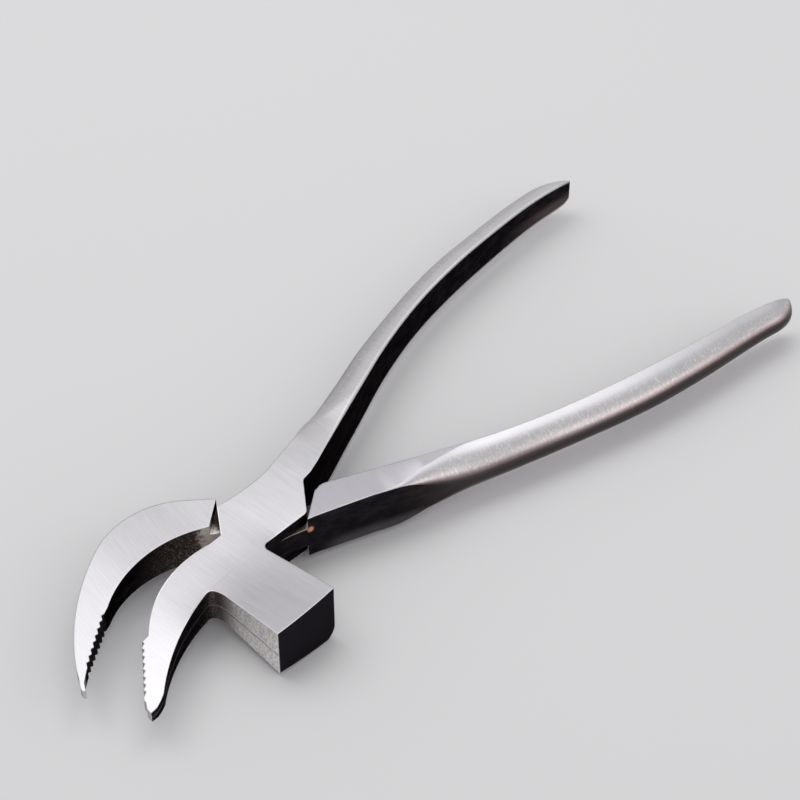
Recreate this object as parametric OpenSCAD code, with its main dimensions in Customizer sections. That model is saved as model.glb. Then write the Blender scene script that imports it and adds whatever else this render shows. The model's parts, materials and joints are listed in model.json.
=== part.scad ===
// Shoemaker's lasting pincers with a side hammer, all steel.
// Two drop forged halves cross in a box joint: the hammer half is slotted at the
// joint and the strap of the plain half passes through the slot, on one rivet.
// Each half is drawn closed, with the pivot at the origin, the jaws along -X, the
// handles along +X and the mid plane of the forgings at z = 0. Then each is turned
// by half the opening angle, and the tool is set down on z = 0.
// Units are millimetres, +Z is up, along the rivet.

/* [Overall] */
// Angle between the halves as they lie, 0 would be closed
rest_open = 15.5; // [10:0.5:15.5]
// Pivot to the handle ends
handle_reach = 168; // [158:1:178]
// Thickness of the forgings at the handle roots
root_t = 13.6; // [12.6:0.1:14.6]
// Radius of the long curve by which both faces thin out to the jaw tips
crown_r = 730; // [690:10:900]
// Where that curve starts, right of the pivot
crown_start = 25; // [20:1:28]

/* [Box joint] */
// Thickness of the strap that passes through the slot
strap_t = 5.9; // [5:0.1:6.5]
// Gap over and under the strap
strap_gap = 0.1; // [0.05:0.01:0.2]
// Radius of the strap's round edges about the pivot
strap_r = 11.3; // [10.6:0.1:11.4]
// Gap between those edges and the round pockets of the slot
pocket_gap = 0.3; // [0.2:0.05:0.5]
// Pivot to the shoulders of the plain half on the jaw side
shoulder_jaw = 13; // [12.8:0.1:13.4]
// Pivot to the shoulders of the plain half on the handle side
shoulder_handle = 11.4; // [11.3:0.1:11.8]
// Rivet shank diameter
rivet_d = 6; // [5:0.1:7]
// Rivet head diameter at the face
rivet_head_d = 9.4; // [8.4:0.1:10.4]
// Depth of the countersunk head
rivet_head_t = 1.5; // [1:0.1:2]
// Radial running clearance in the strap
rivet_gap = 0.05; // [0.02:0.01:0.09]

/* [Jaws] */
// Radius of the round mouth between the jaws
mouth_r = 30.2; // [29.6:0.1:31]
// Radius of the hammer half's jaw on its outer side
inner_back_r = 60.6; // [58:0.2:62]
// Radius of the plain half's bulge beside the joint
bulge_r = 22; // [21:0.2:23]
// Radius of the plain half's long back
back_r = 67; // [65:0.5:70]
// Direction of the gripping line, below the tool axis
grip_tilt = 43.2; // [42:0.2:44]
// Teeth on each jaw
tooth_n = 8; // [5:1:8]
// Tooth pitch
tooth_pitch = 2; // [1.6:0.05:2.05]
// Tooth depth
tooth_d = 0.6; // [0.3:0.05:0.8]

/* [Hammer] */
// Width of the hammer at its face
hammer_face_w = 18.7; // [17:0.1:20]
// Width of the hammer at its root
hammer_root_w = 16.9; // [15.5:0.1:17.5]
// Tool axis to the middle of the face
hammer_reach = 29.9; // [26:0.1:33]
// Lean of the hammer towards the jaw tips
hammer_lean = 7.5; // [4:0.5:10]
// Bulge of the face over its width
hammer_crown = 0.3; // [0.1:0.05:0.8]
// Slope of the hammer's upper and lower faces, mm per mm
hammer_flare = 0.11; // [0.06:0.01:0.14]
// Round of the lower corner on the handle side
hammer_round = 4; // [2:0.5:5]

/* [Handles] */
// Widest distance of the inner edges from the tool axis
handle_bow = 19.7; // [17:0.1:22]
// Width of the handle grips at their fullest
grip_w = 7.9; // [7:0.1:9]
// Thickness of the handle grips at their middle
grip_t = 11; // [9.5:0.1:12.5]
// Length of the rounded handle ends
end_len = 10; // [8:0.5:14]

/* [Hidden] */
$fn = 96;
tall = 4 * root_t;
root_x = 25;
half_turn = rest_open / 2;
slot_t = strap_t + 2 * strap_gap;
pocket_r = strap_r + pocket_gap;
satin = [0.80, 0.80, 0.82];
ground = [0.74, 0.74, 0.76];
rivet_steel = [0.78, 0.78, 0.80];

// Half thickness of the forgings at x.
function half_t(x) = root_t / 2 - pow(max(crown_start - x, 0), 2) / (2 * crown_r);

// Points along an arc of a circle, from angle a0 to angle a1.
function arc(c, r, a0, a1, n) = [for (i = [0 : n]) c + r * polar(a0 + (a1 - a0) * i / n)];
function polar(a) = [cos(a), sin(a)];

// Points from p to q on an arc of radius r, which bulges to the left, or to the right below 0.
function arc_over(p, q, r, n) =
    let (half = norm(q - p) / 2, left = [p[1] - q[1], q[0] - p[0]] / (2 * half), s = sign(r))
    let (c = (p + q) / 2 - s * left * sqrt(r * r - half * half), a = asin(half / abs(r)))
    let (a0 = atan2(s * left[1], s * left[0]))
    [for (i = [0 : n]) c + abs(r) * polar(a0 + s * a * (1 - 2 * i / n))];

// Smooth value at x from rows of [x, value], level at both ends.
function bend(rows, x) =
    let (n = len(rows) - 1)
    let (i = max([for (k = [0 : n - 1]) if (k == 0 || x >= rows[k][0]) k]))
    let (a = rows[i], b = rows[i + 1])
    let (u = (x - a[0]) / (b[0] - a[0]), h = b[0] - a[0])
    let (sa = i == 0 ? (b[1] - a[1]) / h : slope(rows[i - 1], b))
    let (sb = i == n - 1 ? (b[1] - a[1]) / h : slope(a, rows[i + 2]))
    a[1] * (1 + 2 * u) * pow(1 - u, 2) + b[1] * u * u * (3 - 2 * u)
    + h * sa * u * pow(1 - u, 2) - h * sb * u * u * (1 - u);
function slope(a, b) = (b[1] - a[1]) / (b[0] - a[0]);

// The gripping line of the closed jaws, from the mouth to the tips.
grip_from = [-48.2, -1.53];
grip_dir = polar(180 + grip_tilt);
grip_off = polar(90 + grip_tilt);
grip_len = tooth_n * tooth_pitch;
function on_grip(along, off) = grip_from + along * grip_dir + off * grip_off;
// Half the gap left between the closed jaws.
bite = 0.06;

// A point of the plain half's shoulders: how far beyond the shoulder, and along it.
function at_jaw(beyond, along) = (shoulder_jaw + beyond) * polar(135) + along * polar(45);
function at_handle(beyond, along) = (shoulder_handle + beyond) * polar(-45) + along * polar(45);

// Outline of the hammer half without the hammer.
function hammer_half_line() = concat(
    [[root_x, bow_a[0][1]], [22.5, 0.6], [20.4, 0.1], [17.9, -0.5], [15, -0.7], [14.2, -1.1]],
    [[6.4, -8.35], [5.4, -8.65], [-7.7, -6.9], [-26, -4.9]],
    arc_over([-28.5, -5.1], [-56.5, -15.75], -inner_back_r, 14),
    [[-58.4, -16.5], [-60.2, -17.0], [-62.2, -16.9], [-61.9, -15.3]],
    [on_grip(grip_len + 1.6, -0.5), on_grip(grip_len + 0.8, -bite), on_grip(0.2, -bite)],
    arc_over([-46.0, -1.8], [-16.1, 4.35], mouth_r, 24),
    [[-12.3, 3.9], [-11.8, 4.4], [-5.8, 10.6]],
    arc_over([-5.4, 11.0], [9.5, 8.75], -60, 8),
    [[13, 8.95], [17, 9.5], [root_x, bow_a[0][1] + root_w_a]]
);

// Outline of the plain half's jaw, up to the shoulder.
function plain_jaw_line() = concat(
    [at_jaw(0, 3.55)],
    arc_over([-14.3, 17.2], back_from, -bulge_r, 14),
    arc_over(back_from, [-62.15, -11.25], -back_r, 20),
    [[-62.9, -13.4], [-64.2, -16.3], [-64.3, -17.4], [-63.7, -17.8]],
    [[-62.7, -15.5], on_grip(grip_len + 0.8, bite), on_grip(-0.4, bite)],
    arc_over([-46.65, -0.35], [-14.4, 5.2], mouth_r, 24),
    [at_jaw(0, -6.07)]
);
// Where the bulge runs into the long back.
back_from = [-39.05, 16.9];

// Outline of the plain half's handle root, from the shoulder.
function plain_root_line() = concat(
    [[root_x, -bow_b[0][1]], [18.6, -1.4], [17.4, -1.15], [16.2, -1.2], [15, -1.7]],
    [at_handle(0, 8.68), at_handle(-0.25, -1.39)],
    [[8.8, -9.1], [root_x, -bow_b[0][1] - root_w_b]]
);

// Side profile shared by both halves.
module thickness() {
    xs = [for (x = [-66 : 4 : crown_start - 1]) x];
    up = concat([for (x = xs) [x, half_t(x)]], [[crown_start, root_t / 2], [root_x + 2, root_t / 2]]);
    down = [for (i = [len(up) - 1 : -1 : 0]) [up[i][0], -up[i][1]]];
    rotate([90, 0, 0])
        linear_extrude(2 * tall, center = true)
            polygon(concat(up, down));
}

module slab(line) {
    intersection() {
        linear_extrude(tall, center = true)
            polygon(line);
        thickness();
    }
}

// One row of saw teeth, cut into the side that off points to.
cutter_back = 1;
module teeth(off) {
    linear_extrude(tall, center = true)
        for (i = [0 : tooth_n - 1]) {
            from = i * tooth_pitch;
            polygon([
                on_grip(from, -off * cutter_back),
                on_grip(from, off * bite),
                on_grip(from + tooth_pitch * 0.3, off * (bite + tooth_d)),
                on_grip(from + tooth_pitch * 0.96, off * bite),
                on_grip(from + tooth_pitch * 0.96, -off * cutter_back)
            ]);
        }
}

// Rows of [x, value] along each handle: distance of the inner edge from the axis,
// width in units of the grip's width, and how far the round of the outer side has grown.
bow_a = [[25, 1.35], [30, 2.8], [50, 8.6], [70, 14.2], [90, 18.0], [110, 19.6], [130, 19.7], [150, 18.8], [168, 16.2]];
bow_b = [[25, 3.25], [30, 4.7], [50, 10.1], [70, 14.4], [90, 16.9], [110, 18.3], [130, 18.7], [155, 18.5], [168, 19.6]];
grip_a = [[25, 1.18], [36, 1.12], [42, 1.16], [48, 1.18], [54, 1.14], [62, 1.11], [72, 1.04], [85, 0.98], [98, 0.99], [110, 1.01], [130, 0.96], [150, 0.94], [158, 0.95]];
grip_b = [[25, 1.16], [38, 1.08], [46, 1.07], [54, 1.03], [62, 0.97], [72, 0.92], [85, 0.93], [110, 1], [130, 0.95], [158, 0.81]];
round_a = [[25, 0], [30, 0.2], [35, 0.39], [40, 0.58], [45, 0.76], [50, 0.88], [57, 0.96], [66, 1]];
round_b = [[25, 0], [29, 0.01], [35, 0.22], [40, 0.44], [45, 0.62], [50, 0.80], [56, 0.95], [66, 1]];
thick_rows = [[25, 0], [30, 0], [45, 0.12], [65, 0.65], [85, 1]];
thin_rows = [[85, 0], [120, 0.4], [158, 2], [168, 3]];
root_w_a = 9.3;
root_w_b = 9.15;
// Those rows are met at this reach and bow, and stretch with the handle.
row_reach = 168;
bow_full = 19.7;
// The first grip widths keep to the root over this length.
root_blend = 10;
function share(a, b, x) = min(max((x - a) / (b - a), 0), 1);
function last_x(rows) = rows[len(rows) - 1][0];
function station(x) = root_x + (x - root_x) * (row_reach - root_x) / (handle_reach - root_x);
function end_x() = handle_reach - end_len;
function fullness(x) = sqrt(1 - pow(share(end_x(), handle_reach, x), 2));
// Round of the last corners of the end, 0 before it and 1 at the tip.
function tip_round(x) = pow(share(end_x(), handle_reach, x), 6);
function grip_width(grip, root_w, x) =
    let (u = share(root_x, root_x + root_blend, x))
    fullness(x) * (grip_w * bend(grip, min(station(x), last_x(grip))) * u + root_w * (1 - u));
function grip_thick(x) =
    let (s = station(x), full = grip_t + 0.3)
    (s < last_x(thick_rows) ? root_t + (full - root_t) * bend(thick_rows, s) : full - bend(thin_rows, s)) * (1 - 0.22 * tip_round(x));
function growth(rows, x) = let (s = station(x)) s >= last_x(rows) ? 1 : share(0, 1, bend(rows, s));
// Angle at the break where the flat of the root meets the round, and later along the inner edge.
function crease(x) = 18 - 7 * share(48, 64, x);
function bow(rows, x) =
    let (y = bend(rows, station(x)), y0 = rows[0][1])
    y0 + (y - y0) * (handle_bow - y0) / (bow_full - y0) + 0.6 * tip_round(x);

ring_n = 24;
// Share of the grip's height left upright at the parting line, and smallest round of an edge.
parting = 0.02;
edge = 0.015;
// Points of one handle section, round on the outside and flat on the inside.
function ring(hand, up, x, inset) =
    let (w = grip_width(hand[1], hand[3], x), h = grip_thick(x) / 2, g = growth(hand[2], x))
    let (y = bow(hand[0], x), a = w * max(g, edge), b = h * (1 - parting) * max(g * g * (3 - 2 * g), edge))
    let (from = 90 - crease(x), to = crease(x) * (1 - g))
    let (side = arc([0, 0], 1, from, to, ring_n / 2 - 2))
    let (first = polar(from), last = polar(to))
    let (top = [for (p = side) [
        y + w - a * (last[0] - p[0]) / (last[0] - first[0]),
        h - b * (first[1] - p[1]) / (first[1] - last[1])
    ]])
    let (all = concat([[y, h]], top, mirrored(top), [[y, -h]]))
    let (mid = [y + w / 2, 0])
    [for (p = all) let (q = mid + (p - mid) * (1 - inset)) [x, up * q[0], q[1]]];
function mirrored(line) = [for (i = [len(line) - 1 : -1 : 0]) [line[i][0], -line[i][1]]];
hand_a = [bow_a, grip_a, round_a, root_w_a];
hand_b = [bow_b, grip_b, round_b, root_w_b];

// Handle from its root to its rounded end, on the side of the axis given by up.
module handle(hand, up) {
    body_x = [for (x = [root_x : 2.5 : end_x() - 1]) x];
    tail_x = [for (a = [0 : 10 : 80]) end_x() + end_len * sin(a)];
    xs = concat(body_x, tail_x);
    rings = concat([ring(hand, up, root_x - 1, 0.01)], [for (x = xs) ring(hand, up, x, 0)]);
    m = len(rings[0]);
    points = [for (r = rings) each r];
    skin = [for (k = [0 : len(rings) - 2], i = [0 : m - 1]) each
        let (a = k * m + i, b = k * m + (i + 1) % m)
        up > 0 ? [[a, b, a + m], [b, b + m, a + m]] : [[a, a + m, b], [b, a + m, b + m]]];
    cap0 = [for (i = [0 : m - 1]) up > 0 ? m - 1 - i : i];
    cap1 = [for (i = [0 : m - 1]) (len(rings) - 1) * m + (up > 0 ? i : m - 1 - i)];
    polyhedron(points, concat([cap0, cap1], skin), convexity = 6);
}

// The hammer: root, flaring body and gently domed face.
hammer_root = [-18, -8.7];
function hammer_at(along, across) =
    hammer_root + along * [-sin(hammer_lean), -cos(hammer_lean)] + across * [cos(hammer_lean), -sin(hammer_lean)];
hammer_len = (hammer_reach + hammer_root[1]) / cos(hammer_lean);
hammer_dome_r = pow(hammer_face_w, 2) / (8 * hammer_crown);

module hammer_plan() {
    dome = [for (i = [-4 : 4]) let (s = i * hammer_face_w / 8)
        hammer_at(hammer_len + sqrt(pow(hammer_dome_r, 2) - s * s) - hammer_dome_r, s)];
    polygon(concat(
        [hammer_at(-5, -hammer_root_w / 2 + 0.2), hammer_at(0, -hammer_root_w / 2)],
        dome,
        [hammer_at(0, hammer_root_w / 2), hammer_at(-5, hammer_root_w / 2 - 0.2)]
    ));
    fillet(hammer_at(2.2, -hammer_root_w / 2 - 0.05), [-28.5, -5.1], [-25, -4.5]);
    fillet(hammer_at(0.4, hammer_root_w / 2 - 0.05), [-7.4, -6.9], [-10, -6]);
}

// Fills the inner corner at c between a point on each side.
module fillet(p, q, c) {
    polygon(concat([c], [for (i = [0 : 6]) let (u = i / 6) pow(1 - u, 2) * p + 2 * u * (1 - u) * knee(p, q, c) + u * u * q]));
}
function knee(p, q, c) = [p[0] + (c[0] - p[0]) * 0.25, q[1] + (c[1] - q[1]) * 0.1];

// Rise of the hammer's upper face over the joint, at the depth s along it.
blend_len = 6;
blend_start = -5;
sunk = 0.08;
function rise(s) =
    let (u = min(s, blend_len), first = 0.03)
    -sunk + first * u + (hammer_flare - first) * u * u / (2 * blend_len) + hammer_flare * max(s - blend_len, 0);
hammer_tilt = (crown_start - hammer_root[0]) / crown_r;

module hammer_flank() {
    base = half_t(hammer_root[0]);
    line = [for (s = [-6, 0, 1.2, 2.4, 3.6, 4.8, 6, tall]) [blend_start - s, base + rise(max(s, 0)) + 0.03 * min(s, 0)]];
    translate([hammer_root[0], 0, 0])
        rotate([0, -atan(hammer_tilt), 0])
            rotate([90, 0, 90])
                linear_extrude(tall, center = true)
                    polygon(concat([[blend_start + 6, -tall]], line, [[blend_start - tall, -tall]]));
}

module hammer() {
    difference() {
        intersection() {
            linear_extrude(tall, center = true)
                hammer_plan();
            hammer_flank();
            mirror([0, 0, 1])
                hammer_flank();
        }
        hammer_corner();
    }
}

// Half thickness of the hammer over a point of its plan.
function hammer_half_at(p) =
    half_t(hammer_root[0]) + rise(blend_start - p[1]) + hammer_tilt * (p[0] - hammer_root[0]);

// Rounds the lower long edge on the handle side, less and less towards the root.
module hammer_corner() {
    p = hammer_at(0, hammer_root_w / 2);
    q = hammer_at(hammer_len, hammer_face_w / 2);
    fade = hammer_round * 0.25;
    from = [p[0] + fade, p[1], -hammer_half_at(p) - fade];
    to = [q[0], q[1], -hammer_half_at(q)];
    d = to - from;
    r = hammer_round;
    translate(from)
        rotate([0, acos(d[2] / norm(d)), atan2(d[1], d[0])])
            linear_extrude(tall, center = true)
                polygon(concat([[9, 9], [-r, 9]], arc([-r, -r], r, 90, 0, 10), [[9, -r]]));
}

// The region that the slot takes out of the hammer half, seen from above.
module slot_plan() {
    circle(r = pocket_r);
    polygon([[0, 0], [-11.2, 2.6], [-15, 3.66], [-16, 12], [-6, 16], [2, 16], [6, 6]]);
    polygon([[0, 0], [11.3, -0.6], [14.3, -1], [16, -4], [8, -14], [-4, -14], [-6, -6]]);
}

// The strap of the plain half between its two roots.
module strap_plan() {
    near = arc([-1, -58], 50, 94, 78.7, 6);
    far = arc([-1, 58], 50, 281, 266, 6);
    intersection() {
        circle(r = strap_r);
        polygon(concat([[-12, -7.9]], near, [[12, -8.5], [12, 8.5]], far, [[-12, 7.9]]));
    }
    polygon([at_jaw(0.29, 3.96), at_jaw(1.14, -6.5), strap_r * polar(162), [0, 0], [-2.5, 8]]);
    polygon([at_handle(1.26, -0.21), at_handle(0.06, 8.34), strap_r * polar(-10), [0, 0], [2, -8.1]]);
}

module rivet_body(extra) {
    shank = rivet_d / 2;
    head = rivet_head_d / 2;
    face = half_t(0);
    rotate_extrude()
        polygon([
            [0, -face - extra], [head, -face - extra], [head, -face], [shank, -face + rivet_head_t],
            [shank, face - rivet_head_t], [head, face], [head, face + extra], [0, face + extra]
        ]);
}

module hammer_half_closed() {
    difference() {
        union() {
            slab(hammer_half_line());
            hammer();
        }
        linear_extrude(slot_t, center = true)
            slot_plan();
        teeth(-1);
        rivet_body(1);
    }
    handle(hand_a, 1);
}

module plain_half_closed() {
    difference() {
        union() {
            slab(plain_jaw_line());
            slab(plain_root_line());
            linear_extrude(strap_t, center = true)
                strap_plan();
        }
        teeth(1);
        cylinder(h = tall, r = rivet_d / 2 + rivet_gap, center = true);
    }
    handle(hand_b, -1);
}

// Depth of the hammer's lower face below the mid plane, where it bears.
drop = hammer_half_at(hammer_at(hammer_len, hammer_face_w / 2 - hammer_round));

// Middle of the tool as it lies, seen from above.
function turned(line, a) = [for (p = line) [p[0] * cos(a) - p[1] * sin(a), p[0] * sin(a) + p[1] * cos(a)]];
function side_line(hand, up) =
    [for (x = [last_x(thick_rows) : 1 : end_x()]) [x, up * (bow(hand[0], x) + grip_width(hand[1], hand[3], x))]];
function tip(hand, up) = [for (k = [0, 0.5, 1]) [handle_reach, up * (bow(hand[0], handle_reach) + k)]];
reached = concat(
    turned(hammer_half_line(), half_turn),
    turned(plain_jaw_line(), -half_turn),
    turned(concat(side_line(hand_a, 1), tip(hand_a, 1)), half_turn),
    turned(concat(side_line(hand_b, -1), tip(hand_b, -1)), -half_turn)
);
function middle(k) = (min([for (p = reached) p[k]]) + max([for (p = reached) p[k]])) / 2;
centre = [middle(0), middle(1)];

// Sets a closed half down where it lies.
module lie(turn) {
    translate([-centre[0], -centre[1], drop])
        rotate([0, 0, turn])
            children();
}

module hammer_half() {
    color(satin)
        lie(half_turn)
            hammer_half_closed();
}

module plain_half() {
    color(ground)
        lie(-half_turn)
            plain_half_closed();
}

module pivot_rivet() {
    color(rivet_steel)
        lie(half_turn)
            intersection() {
                rivet_body(1);
                thickness();
            }
}

hammer_half();
plain_half();
pivot_rivet();
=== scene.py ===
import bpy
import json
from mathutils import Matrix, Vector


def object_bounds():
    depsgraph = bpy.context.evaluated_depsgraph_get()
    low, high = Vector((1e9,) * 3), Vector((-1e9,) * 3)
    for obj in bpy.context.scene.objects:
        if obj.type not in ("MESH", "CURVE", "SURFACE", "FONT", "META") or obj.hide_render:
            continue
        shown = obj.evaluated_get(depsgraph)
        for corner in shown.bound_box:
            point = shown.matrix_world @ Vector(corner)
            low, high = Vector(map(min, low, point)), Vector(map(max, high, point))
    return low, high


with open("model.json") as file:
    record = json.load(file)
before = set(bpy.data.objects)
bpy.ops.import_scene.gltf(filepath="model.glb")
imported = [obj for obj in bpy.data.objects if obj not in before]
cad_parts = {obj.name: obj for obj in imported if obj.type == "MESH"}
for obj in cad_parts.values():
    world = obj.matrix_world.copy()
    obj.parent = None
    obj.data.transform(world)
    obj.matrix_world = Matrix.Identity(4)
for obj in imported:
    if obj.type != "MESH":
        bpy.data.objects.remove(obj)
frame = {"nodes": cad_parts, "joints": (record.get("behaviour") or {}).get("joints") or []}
cad_box = [list(corner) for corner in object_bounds()]

# Dresses lasting pincers in steel: ground faces, brushed handles and forged side walls.
# Metres, +Z up, in the row frame. The jaws point to -X and the handles to +X.

import json
import math

import bpy
from mathutils import Matrix, Vector

MM = 0.001
PIVOT = Vector(frame["joints"][0]["pos_m"])
REST_OPEN = math.radians(15.5)

# The photograph's camera, solved from the drawn outlines.
CAMERA_FROM_PIVOT = Vector((-0.230279, -0.269469, 0.361743))
CAMERA_RIGHT = Vector((0.69466, -0.71934, 0.0))
CAMERA_UP = Vector((0.48133, 0.46482, 0.74314))
LENS_MM = 90
SENSOR_MM = 36

# Steel colours from bright to dark, for ground faces and for the painted light and shade down the
# handles.
BRIGHT = (0.93, 0.93, 0.95)
CREST_HIGHLIGHT = (0.92, 0.91, 0.925)
GROUND = (0.72, 0.71, 0.735)
BRUSHED = (0.66, 0.64, 0.655)
DULL_HAMMER_SHADE = (0.50, 0.485, 0.52)
DULL_ROOT = (0.50, 0.485, 0.53)
MIDDLE = (0.40, 0.385, 0.40)
ROSY = (0.37, 0.305, 0.30)
DIM = (0.16, 0.15, 0.16)
UMBER = (0.112, 0.090, 0.090)
SHADED = (0.060, 0.050, 0.050)

# Painted light and shade down the side of a handle: colours by how far its surface faces up or
# down, light on top and dark below.
HAMMER_SHADE_BANDS = [
    (0.15, SHADED), (0.55, DIM), (0.74, MIDDLE), (0.90, BRUSHED), (0.97, GROUND), (1.0, GROUND),
]
PLAIN_SHADE_BANDS = [
    (0.15, SHADED), (0.36, UMBER), (0.50, ROSY),
    (0.64, (0.70, 0.645, 0.65)), (0.84, (0.80, 0.785, 0.795)), (0.95, GROUND),
]

# Forged walls and the inside of the joint. The walls are dark partly as forge scale and partly as
# painted shade, standing for the dark they reflect.
DARK = (0.018, 0.016, 0.019)
FACE_DARK_REFLECTION = (0.034, 0.031, 0.037)
DARK_GREY = (0.036, 0.032, 0.035)
SCALE_AND_SHADE = (0.065, 0.048, 0.042)
END_SHEEN = (0.13, 0.105, 0.105)
STAIN = (0.16, 0.105, 0.095)
RUST = (0.20, 0.155, 0.135)
FILLET_SHADE = (0.30, 0.25, 0.24)
TAN_BROWN = (0.42, 0.36, 0.35)
LEDGE_LIGHT = (0.52, 0.43, 0.39)
TAN = (0.66, 0.62, 0.605)
COPPER = (0.80, 0.42, 0.28)
PATCH = (0.92, 0.86, 0.82)
TAN_LIGHT = (1.0, 0.98, 0.975)

# A wall's reflection at a flat angle, against plain steel's, darkened on the walls as painted
# shade.
WHITE = (1, 1, 1)
WALL_TINT = (0.25, 0.22, 0.22)

# Places on the closed tool: x along it, y across it and z up, in millimetres from the pivot.
# Two numbers for a ramp are where a finish starts and where it is full, in either direction.
HANDLE_X = (26, 44)
HANDLE_SIDE_X = (30, 54)
HANDLE_DARK_X = (80, 122)
END_SHEEN_X = (132, 160)
END_SHEEN_Z = (0.8, -2.4)
ROOT_FRONT_X = (6, 9)
ROOT_BACK_X = (62, 30)
LOW_WALL_Z = (-2.5, -6)
THROAT_X = (-8, -11)
THROAT_RADIUS = (36, 15)
JAW_FLASH_X = (-20, -30)
TEETH_X = (-46.5, -48)
PLAIN_TIP_X = (-61, -63)
HAMMER_DULL_SHADE_Y = (3, -19)
HAMMER_RISE_Y = (3, -17)
FLANK_Y = (-4.5, -10.5)
FLANK_FILLET_Y = (-15, -7)
FACE_Y = (-24, -27)
FACE_EDGE_Y = (-20, -24)
JOINT_LEVEL = (3.5, 3.1)
JOINT_RADIUS = (20, 18)
RIVET_RADIUS = (5.4, 6.2)
LEDGE_Y = (-6.4, -7.4)
PATCH_AT = (-13.6, 4.2, 0)
PATCH_Z = (6.6, 5.0)
GLINT_AT = (7.6, -8.9, 2.6)

# Marks: how far from their own middle they start and are full, in millimetres.
PATCH_RADIUS = (5.0, 2.0)
GLINT_RADIUS = (1.2, 0.5)
FLASH_WIDTH = (0.32, 0.10)
FLASH_SHADOW_WIDTH = (0.40, 0.10)

# How far the flash line's shadow lies below it, in millimetres.
FLASH_SHADOW_BELOW = 0.55

# Bands along the tool: both ends, and how far a finish fades beyond them.
LOW_WALL_BAND = (18, 44, 10)
LEDGE_BAND = (3, 9, 6)
HUB_BAND = (-2, 12, 8)
JAW_BAND = (-34, -22, 10)
FLANK_BAND = (-34, -16, 1)
HAMMER_DULL_SHADE_BAND = (-34, -14, 14)
HAMMER_RISE_BAND = (-34, -7, 8)
FACE_EDGE_BAND = (-34, -10, 2)

# How far a surface faces up or down, from 0 on a wall to 1 on a flat face.
WALL_UP = (0.42, 0.20)
FLAT_UP = (0.86, 0.96)
CREST_HIGHLIGHT_UP = (0.90, 0.985)
SIDE_UP = (0.93, 0.72)
GRIP_LOW_UP = (0.30, 0.60)
GRIP_HIGH_UP = (0.97, 0.90)
EDGE_UP = (0.12, 0.35)

# How far a wall faces along the tool, or across it.
FLANK_FACING = (-0.4, -0.8)
FACE_FACING = (-0.7, -0.9)
TEETH_FACING = (-0.1, 0.1)
INNER_FACING = (-0.5, -0.8)
JAW_BACK_FACING = (-0.1, -0.4)
OUTSIDE_FACING = (0.1, 0.4)

# How steeply the hammer's top rises towards its face.
HAMMER_SLOPE = 0.11

# Where the rounded normal leaves the true one, there is an edge.
EDGE_AGREE = (0.99, 0.93)

# How far edges look rounded, and what each handle adds to that.
EDGE_ROUND = 0.40 * MM
HAMMER_HANDLE_ROUND = 1.1 * MM
PLAIN_HANDLE_ROUND = -0.15 * MM

BUMP_DEPTH = 0.06 * MM
WELD_GAP = 0.002 * MM
FLOOR_GAP = 0.05 * MM
FLOOR_REACH = 6.0


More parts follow.
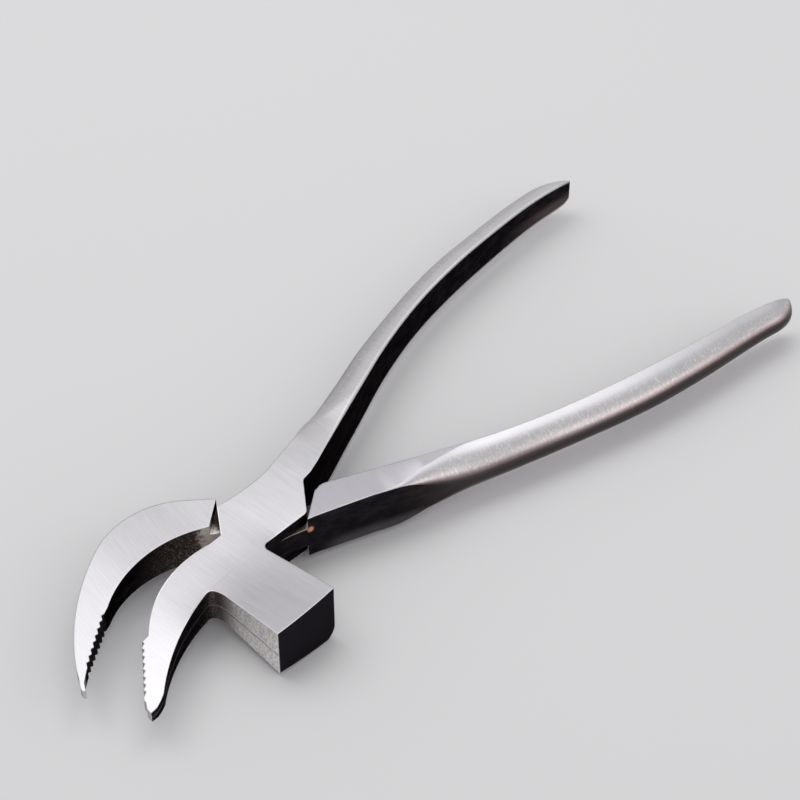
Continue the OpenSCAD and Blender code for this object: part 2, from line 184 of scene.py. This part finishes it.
class Tree:
    """Short calls for building a node tree."""

    def __init__(self, tree):
        self.tree = tree
        self.tree.nodes.clear()

    def put(self, socket, value):
        if isinstance(value, bpy.types.NodeSocket):
            self.tree.links.new(value, socket)
        elif isinstance(value, (tuple, list)) and len(value) == 3 and socket.type == "RGBA":
            socket.default_value = (*value, 1)
        else:
            socket.default_value = value

    def node(self, kind, sockets=(), **settings):
        made = self.tree.nodes.new(kind)
        for key, value in settings.items():
            setattr(made, key, value)
        for key, value in dict(sockets).items():
            self.put(made.inputs[key], value)
        return made

    def math(self, what, a, b=0.0, c=0.0):
        return self.node("ShaderNodeMath", {0: a, 1: b, 2: c}, operation=what).outputs[0]

    def times(self, *values):
        product = values[0]
        for value in values[1:]:
            product = self.math("MULTIPLY", product, value)
        return product

    def plus(self, *values):
        total = values[0]
        for value in values[1:]:
            total = self.math("ADD", total, value)
        return total

    def scaled_plus(self, value, factor, offset):
        return self.math("MULTIPLY_ADD", value, factor, offset)

    def size(self, value):
        return self.math("ABSOLUTE", value)

    def greater(self, a, b):
        return self.math("MAXIMUM", a, b)

    def rest(self, share):
        return self.math("SUBTRACT", 1.0, share)

    def ramp(self, value, low, high):
        """0 below low and 1 above high, or the other way round where low is above high."""
        a, b, start, end = (low, high, 0.0, 1.0) if low < high else (high, low, 1.0, 0.0)
        return self.node(
            "ShaderNodeMapRange",
            {"Value": value, "From Min": a, "From Max": b, "To Min": start, "To Max": end},
            interpolation_type="SMOOTHSTEP",
        ).outputs[0]

    def band(self, value, low, high, soft):
        """1 from low to high, fading over soft on both sides."""
        return self.times(self.ramp(value, low - soft, low), self.ramp(value, high + soft, high))

    def vector(self, what, a, b=(0, 0, 0)):
        """A vector operation that gives a vector."""
        return self.node("ShaderNodeVectorMath", {0: a, 1: b}, operation=what).outputs["Vector"]

    def measure(self, what, a, b):
        """A vector operation that gives a number."""
        return self.node("ShaderNodeVectorMath", {0: a, 1: b}, operation=what).outputs["Value"]

    def turned(self, vector, angle):
        return self.node(
            "ShaderNodeVectorRotate", {"Vector": vector, "Angle": angle}, rotation_type="Z_AXIS"
        ).outputs[0]

    def moved(self, vector, start, end):
        return self.node(
            "ShaderNodeVectorTransform", {"Vector": vector}, convert_from=start, convert_to=end
        ).outputs[0]

    def split(self, vector):
        return self.node("ShaderNodeSeparateXYZ", {0: vector}).outputs

    def noise(self, place, scale, detail, rough):
        return self.node("ShaderNodeTexNoise", {
            "Vector": self.vector("MULTIPLY", place, scale), "Scale": 1.0,
            "Detail": detail, "Roughness": rough,
        }).outputs["Fac"]

    def mix(self, share, a, b):
        return self.node("ShaderNodeMix", {0: share, 6: a, 7: b}, data_type="RGBA").outputs[2]

    def blend(self, share, a, b):
        return self.node("ShaderNodeMix", {0: share, 2: a, 3: b}, data_type="FLOAT").outputs[0]

    def bands(self, value, stops):
        made = self.node("ShaderNodeValToRGB", {0: value})
        while len(made.color_ramp.elements) < len(stops):
            made.color_ramp.elements.new(0.5)
        for element, (at, colour) in zip(made.color_ramp.elements, stops):
            element.position = at
            element.color = (*colour, 1)
        return made.outputs[0]


def new_material(name):
    material = bpy.data.materials.new(name)
    material.use_nodes = True
    return material, Tree(material.node_tree)


class Steel:
    """One half's steel: ground faces, rounded handle, forged walls, joint, edges and grain."""

    def __init__(self, name, turn, line_turn, hammer):
        self.material, self.t = new_material(name)
        self.turn = turn
        self.hammer = hammer
        self.find_places(line_turn)
        self.make_noises()
        colour = self.ground()
        colour = self.t.mix(self.walled, colour, self.forged())
        colour = self.joint(colour)
        colour = self.grinding(colour)
        self.finish(self.edges(colour))

    def find_places(self, line_turn):
        t = self.t
        where = t.node("ShaderNodeTexCoord").outputs
        self.place = t.node("ShaderNodeMapping", {
            "Vector": where["Object"], "Location": PIVOT,
            "Rotation": (0, 0, self.turn), "Scale": (MM, MM, MM),
        }, vector_type="TEXTURE").outputs[0]
        self.across = t.turned(self.place, line_turn)
        self.x, self.y, self.z = t.split(self.place)
        self.nx, self.ny, nz = t.split(t.turned(where["Normal"], -self.turn))
        self.level_place = t.vector("MULTIPLY", self.place, (1, 1, 0))
        self.radius = t.measure("DISTANCE", self.level_place, (0, 0, 0))
        self.up = t.size(nz)
        self.flat = t.ramp(self.up, *FLAT_UP)
        self.handle = t.ramp(self.x, *HANDLE_X)
        self.outside = t.ramp(t.times(self.ny, 1.0 if self.hammer else -1.0), *OUTSIDE_FACING)
        # The outer side of a handle is ground, and every other wall is as forged.
        ground_side = t.times(t.ramp(self.x, *HANDLE_SIDE_X), self.outside)
        self.walled = t.times(t.ramp(self.up, *WALL_UP), t.rest(ground_side))
        self.low = t.times(
            t.ramp(t.size(self.z), *JOINT_LEVEL), t.ramp(self.radius, *JOINT_RADIUS)
        )

    def make_noises(self):
        t = self.t
        self.lines = t.noise(self.across, (3.8, 0.10, 0.10), 3, 0.6)
        self.fine = t.noise(self.across, (7.5, 0.18, 0.18), 3, 0.6)
        self.streaks = t.noise(self.place, (2.6, 0.8, 0.8), 3, 0.65)
        self.cloud = t.noise(self.place, (0.05, 0.05, 0.05), 3, 0.55)
        self.blotch = t.noise(self.place, (0.22, 0.22, 0.5), 4, 0.6)
        self.grain = t.noise(self.place, (1.6, 1.6, 1.6), 4, 0.7)
        self.specks = t.noise(self.place, (3.0, 3.0, 3.0), 2, 0.5)
        self.scabs = t.noise(self.place, (0.9, 0.9, 0.9), 4, 0.7)

    def ground(self):
        """Ground faces, and bands of painted light and shade down the rounded handle."""
        t = self.t
        if self.hammer:
            colour = t.bands(self.up, HAMMER_SHADE_BANDS)
            # The hammer's top is duller and carries painted shade, and the handle's crest carries
            # a painted highlight.
            self.dull = t.times(
                self.flat, t.ramp(self.y, *HAMMER_DULL_SHADE_Y), t.band(self.x, *HAMMER_DULL_SHADE_BAND)
            )
            colour = t.mix(t.times(self.dull, 0.36), colour, DULL_HAMMER_SHADE)
            crest_highlight = t.times(self.handle, t.ramp(self.up, *CREST_HIGHLIGHT_UP))
            return t.mix(crest_highlight, colour, CREST_HIGHLIGHT)
        # Towards the end of the handle, the painted shade below starts higher on the side.
        risen = t.times(t.ramp(self.x, *HANDLE_DARK_X), t.ramp(self.up, *SIDE_UP), -0.13)
        colour = t.bands(t.plus(self.up, risen), PLAIN_SHADE_BANDS)
        # The root is ground duller.
        self.dull = t.times(self.flat, t.ramp(self.x, *ROOT_FRONT_X), t.ramp(self.x, *ROOT_BACK_X))
        return t.mix(t.times(self.dull, 0.75), colour, DULL_ROOT)

    def forged(self):
        """Walls of dark scale with painted shade, brown and speckled towards the joint on the jaw
        side.
        """
        t = self.t
        throat = t.times(t.ramp(self.radius, *THROAT_RADIUS), t.ramp(self.x, *THROAT_X))
        colour = t.mix(t.ramp(self.blotch, 0.35, 0.7), DARK, DARK_GREY)
        colour = t.mix(throat, colour, SCALE_AND_SHADE)
        colour = t.mix(t.times(throat, t.ramp(self.grain, 0.35, 0.60)), colour, RUST)
        self.sparkle = t.times(
            t.ramp(self.specks, 0.565, 0.64), throat, t.ramp(self.scabs, 0.40, 0.56)
        )
        colour = t.mix(t.times(self.sparkle, 0.8), colour, PATCH)
        if self.hammer:
            return self.flash_line(self.hammer_walls(colour))
        # The root's wall is lighter towards the bottom.
        lighter_low = t.times(t.ramp(self.z, *LOW_WALL_Z), t.band(self.x, *LOW_WALL_BAND))
        colour = t.mix(t.times(lighter_low, 0.8), colour, DIM)
        tip = t.ramp(self.x, *PLAIN_TIP_X)
        return t.mix(tip, colour, BRUSHED)

    def hammer_walls(self, colour):
        """A flank painted light and darker near its fillet as painted shade, a face with a painted
        dark reflection, bright teeth and a painted sheen low on the handle's end.
        """
        t = self.t
        # The flank is painted light, as if lit from the side, and darker near its fillet as
        # painted shade.
        self.flank = t.times(
            t.ramp(self.nx, *FLANK_FACING),
            t.ramp(self.y, *FLANK_Y),
            t.band(self.x, *FLANK_BAND),
        )
        tan = t.mix(t.ramp(self.grain, 0.38, 0.60), TAN, TAN_LIGHT)
        tan = t.mix(t.times(t.ramp(self.scabs, 0.50, 0.68), 0.45), tan, TAN_BROWN)
        tan = t.mix(t.ramp(self.y, *FLANK_FILLET_Y), tan, FILLET_SHADE)
        colour = t.mix(self.flank, colour, tan)
        # The hammer's face is painted near black, a painted reflection of dark ground.
        self.face = t.times(t.ramp(self.ny, *FACE_FACING), t.ramp(self.y, *FACE_Y))
        colour = t.mix(self.face, colour, FACE_DARK_REFLECTION)
        teeth = t.times(t.ramp(self.x, *TEETH_X), t.ramp(self.ny, *TEETH_FACING))
        colour = t.mix(teeth, colour, BRUSHED)
        # A pinkish strip low on the handle's inner face near its end is a painted sheen.
        end_sheen = t.times(
            t.ramp(self.x, *END_SHEEN_X),
            t.ramp(self.z, *END_SHEEN_Z),
            t.ramp(self.ny, *INNER_FACING),
        )
        return t.mix(end_sheen, colour, END_SHEEN)

    def flash_line(self, colour):
        """The forging's parting line, a small bump painted bright as a highlight with a painted
        shadow under it, along the flank and the near jaw.
        """
        t = self.t
        wander = t.scaled_plus(t.noise(self.place, (0.25, 0.25, 0.05), 3, 0.6), 1.2, -0.6)
        height = t.plus(self.z, wander)
        on_jaw = t.times(t.ramp(self.ny, *JAW_BACK_FACING), t.ramp(self.x, *JAW_FLASH_X), 0.12)
        line = t.times(t.ramp(t.size(height), *FLASH_WIDTH), t.greater(self.flank, on_jaw))
        self.flash = t.times(line, t.rest(self.face))
        from_shadow = t.size(t.plus(height, FLASH_SHADOW_BELOW))
        shadow = t.times(t.ramp(from_shadow, *FLASH_SHADOW_WIDTH), self.flank, 0.55)
        return t.mix(self.flash, t.mix(shadow, colour, SHADED), BRIGHT)

    def joint(self, colour):
        """Inside the box joint the sunk strap is dark as bare forging and painted shade, with a
        painted lit strip along the ledge's outer edge and a pale patch where it meets the air.
        """
        t = self.t
        sunk = t.times(self.low, self.flat)
        from_patch = t.measure("DISTANCE", self.level_place, PATCH_AT)
        open_top = t.times(self.flat, t.rest(self.low))
        mottle = t.plus(self.scabs, t.scaled_plus(from_patch, -0.11, 0.30))
        self.pale = t.times(
            t.ramp(from_patch, *PATCH_RADIUS), t.ramp(self.z, *PATCH_Z), t.rest(open_top)
        )
        # The sunk strap is darkened as painted shade.
        colour = t.mix(sunk, colour, SCALE_AND_SHADE)
        colour = t.mix(self.pale, colour, t.mix(t.ramp(mottle, 0.34, 0.62), STAIN, PATCH))
        self.dusty = t.greater(
            t.times(self.pale, self.walled), t.times(self.sparkle, self.walled)
        )
        if self.hammer:
            scoured = t.times(self.flank, self.walled, t.rest(self.flash), 0.5)
            self.dusty = t.greater(self.dusty, scoured)
            return colour
        # A strip along the ledge's outer edge is painted light.
        lit_strip = t.times(
            sunk,
            t.ramp(self.y, *LEDGE_Y),
            t.band(self.x, *LEDGE_BAND),
            t.ramp(self.grain, 0.3, 0.5),
        )
        colour = t.mix(lit_strip, colour, LEDGE_LIGHT)
        from_glint = t.measure("DISTANCE", self.place, GLINT_AT)
        return t.mix(t.ramp(from_glint, *GLINT_RADIUS), colour, COPPER)

    def grinding(self, colour):
        """Uneven light and dark of the grinding, painted shade on the jaws' tops and painted light
        on the hub's, and bright streaks round the handle.
        """
        t = self.t
        grip = t.times(
            t.ramp(self.up, *GRIP_LOW_UP),
            t.ramp(self.up, *GRIP_HIGH_UP),
            self.handle,
            self.outside,
        )
        depth = t.blend(self.dull, 0.30, 0.24 if self.hammer else 0.14)
        shade = t.math("MULTIPLY_ADD", t.plus(self.lines, -0.5), depth, 1.0)
        shade = t.times(shade, t.scaled_plus(self.cloud, 0.08, 0.96))
        shade = t.plus(
            shade,
            t.times(grip, t.ramp(self.streaks, 0.50, 0.70), 0.36),
            t.times(grip, t.plus(self.grain, -0.5), 0.35),
            # The jaws' tops are darkened as painted shade.
            t.times(self.flat, t.band(self.x, *JAW_BAND), -0.10),
        )
        if self.hammer:
            # On the hammer half the hub's top is lightened as painted light.
            shade = t.plus(shade, t.times(self.flat, t.band(self.x, *HUB_BAND), 0.08))
        return t.vector("MULTIPLY", colour, shade)

    def edges(self, colour):
        """Edges rounded a little, rubbed bright and given a painted highlight, with no ring round
        the rivet.
        """
        t = self.t
        handle_round = HAMMER_HANDLE_ROUND if self.hammer else PLAIN_HANDLE_ROUND
        soft = t.scaled_plus(self.handle, handle_round, EDGE_ROUND)
        soft = t.times(soft, t.ramp(self.radius, *RIVET_RADIUS))
        self.bevel = t.node("ShaderNodeBevel", {"Radius": soft}, samples=8).outputs[0]
        true_normal = t.node("ShaderNodeNewGeometry").outputs["Normal"]
        agree = t.measure("DOT_PRODUCT", self.bevel, true_normal)
        at_top = t.ramp(t.size(t.split(self.bevel)[2]), *EDGE_UP)
        at_face = t.times(t.ramp(self.y, *FACE_EDGE_Y), t.band(self.x, *FACE_EDGE_BAND))
        edge = t.times(t.ramp(agree, *EDGE_AGREE), t.rest(self.low), t.greater(at_top, at_face))
        self.dark = t.times(self.walled, t.rest(edge))
        if self.hammer:
            self.dark = t.times(self.dark, t.rest(self.flank))
        # Edges are lightened partly as wear and partly as a painted highlight.
        return t.mix(t.times(edge, 0.8), colour, BRIGHT)

    def without_crease(self, normal):
        """Lets the hammer's top rise out of the hub smoothly."""
        t = self.t
        here = t.split(t.turned(t.moved(normal, "WORLD", "OBJECT"), -self.turn))[1]
        slope = t.times(t.ramp(self.y, *HAMMER_RISE_Y), HAMMER_SLOPE)
        lean = t.math("SUBTRACT", slope, here)
        lean = t.times(lean, self.flat, t.band(self.x, *HAMMER_RISE_BAND))
        lean = t.turned(t.node("ShaderNodeCombineXYZ", {"Y": lean}).outputs[0], self.turn)
        return t.vector("NORMALIZE", t.vector("ADD", normal, t.moved(lean, "OBJECT", "WORLD")))

    def finish(self, colour):
        t = self.t
        rough = t.plus(
            t.blend(self.walled, 0.34, 0.50),
            t.scaled_plus(self.lines, 0.16, -0.08),
            t.scaled_plus(self.grain, 0.10, -0.05),
        )
        cut = t.plus(self.lines, t.times(self.fine, 0.5))
        height = t.plus(
            t.times(cut, t.blend(self.walled, 1.0, 0.5)),
            t.times(self.grain, self.walled, 2.0),
            t.times(self.scabs, self.pale, 3.0),
        )
        normal = self.bevel
        if self.hammer:
            height = t.plus(height, t.times(self.walled, self.flash, 7.0))
            normal = self.without_crease(normal)
        bump = t.node("ShaderNodeBump", {
            "Strength": 0.25, "Distance": BUMP_DEPTH, "Height": height, "Normal": normal,
        })
        shader = t.node("ShaderNodeBsdfPrincipled", {
            "Base Color": colour,
            "Metallic": t.scaled_plus(self.dusty, -0.85, 1.0),
            "Roughness": rough,
            "Specular Tint": t.mix(self.dark, WHITE, WALL_TINT),
            "Normal": bump.outputs[0],
        })
        t.node("ShaderNodeOutputMaterial", {0: shader.outputs[0]})


def smooth_shading():
    """Shades the lofted handles smooth, and keeps the break at their roots and every real edge."""
    sharp_from, sharp_at_root = math.radians(30), math.radians(12)
    root_from, root_to = 24 * MM, 66 * MM
    group = bpy.data.node_groups.new("smooth_shading", "GeometryNodeTree")
    for way in ("INPUT", "OUTPUT"):
        group.interface.new_socket("Geometry", in_out=way, socket_type="NodeSocketGeometry")
    t = Tree(group)

    def shade(geometry, domain, smooth, only=True):
        return t.node("GeometryNodeSetShadeSmooth", {
            "Geometry": geometry, "Selection": only, "Shade Smooth": smooth,
        }, domain=domain).outputs[0]

    start = t.node("NodeGroupInput").outputs[0]
    bare = t.node(
        "GeometryNodeRemoveAttribute", {"Geometry": start, "Name": "custom_normal"}
    ).outputs[0]
    angle = t.node("GeometryNodeInputMeshEdgeAngle").outputs[0]
    position = t.node("GeometryNodeInputPosition").outputs[0]
    x = t.math("SUBTRACT", t.split(position)[0], PIVOT.x)
    root = t.times(t.math("GREATER_THAN", x, root_from), t.math("LESS_THAN", x, root_to))
    limit = t.scaled_plus(root, sharp_at_root - sharp_from, sharp_from)
    sharp = t.math("GREATER_THAN", angle, limit)
    smooth = shade(shade(bare, "FACE", True), "EDGE", True)
    t.node("NodeGroupOutput", {0: shade(smooth, "EDGE", False, sharp)})
    return group


def dress(node, steel):
    o = frame["nodes"][node]
    for slot in o.material_slots:
        slot.link = "OBJECT"
        slot.material = steel.material
    o.modifiers.new("weld", "WELD").merge_threshold = WELD_GAP
    o.modifiers.new("smooth", "NODES").node_group = smooth_group


smooth_group = smooth_shading()
hammer_steel = Steel("hammer_half_steel", REST_OPEN / 2, math.radians(5), hammer=True)
plain_steel = Steel("plain_half_steel", -REST_OPEN / 2, math.radians(3), hammer=False)
dress("hammer_half", hammer_steel)
dress("pivot_rivet", hammer_steel)
dress("plain_half", plain_steel)

# A pale floor, which is the background too.
floor_mesh = bpy.data.meshes.new("floor")
corners = [(-1, -1), (1, -1), (1, 1), (-1, 1)]
floor_mesh.from_pydata(
    [(x * FLOOR_REACH, y * FLOOR_REACH, 0) for x, y in corners], [], [(0, 1, 2, 3)]
)
floor = bpy.data.objects.new("floor", floor_mesh)
floor.location.z = cad_box[0][2] - FLOOR_GAP
bpy.context.scene.collection.objects.link(floor)
floor_material, t = new_material("pale_floor")
shader = t.node("ShaderNodeBsdfPrincipled", {
    "Base Color": (0.90, 0.90, 0.91), "Roughness": 0.9, "Specular IOR Level": 0.2,
})
t.node("ShaderNodeOutputMaterial", {0: shader.outputs[0]})
floor_mesh.materials.append(floor_material)

# Soft studio light: a plain world and three round lamps.
world = bpy.data.worlds.new("studio")
bpy.context.scene.world = world
world.use_nodes = True
t = Tree(world.node_tree)
light = t.node("ShaderNodeBackground", {"Color": (1.0, 0.99, 1.0), "Strength": 0.5})
t.node("ShaderNodeOutputWorld", {0: light.outputs[0]})


def softbox(name, azimuth, elevation, distance, spread, radiance, colour):
    """A round soft lamp that fills the given half angle, seen from the tool."""
    radius = distance * math.tan(math.radians(spread))
    lamp = bpy.data.lights.new(name, "AREA")
    lamp.shape = "DISK"
    lamp.size = 2 * radius
    lamp.energy = radiance * math.pi * math.pi * radius * radius
    lamp.color = colour
    a, e = math.radians(azimuth), math.radians(elevation)
    toward = Vector((math.cos(e) * math.cos(a), math.cos(e) * math.sin(a), math.sin(e)))
    o = bpy.data.objects.new(name, lamp)
    o.location = toward * distance
    o.rotation_euler = (-toward).to_track_quat("-Z", "Y").to_euler()
    bpy.context.scene.collection.objects.link(o)


# Name, azimuth, elevation, distance, half angle, radiance and colour.
softbox("back", 105, 62, 1.1, 20.5, 1.2, WHITE)
softbox("overhead", 25, 66, 1.1, 18, 1.25, WHITE)
softbox("low_fill", -60, 28, 1.0, 14, 0.9, (1.0, 0.93, 0.91))

camera_data = bpy.data.cameras.new("camera")
camera_data.lens = LENS_MM
camera_data.sensor_width = SENSOR_MM
camera_data.sensor_fit = "HORIZONTAL"
camera = bpy.data.objects.new("camera", camera_data)
turned = Matrix((CAMERA_RIGHT, CAMERA_UP, CAMERA_RIGHT.cross(CAMERA_UP))).transposed().to_4x4()
camera.matrix_world = Matrix.Translation(PIVOT + CAMERA_FROM_PIVOT) @ turned
bpy.context.scene.collection.objects.link(camera)
bpy.context.scene.camera = camera
bpy.context.scene.view_settings.view_transform = "Standard"
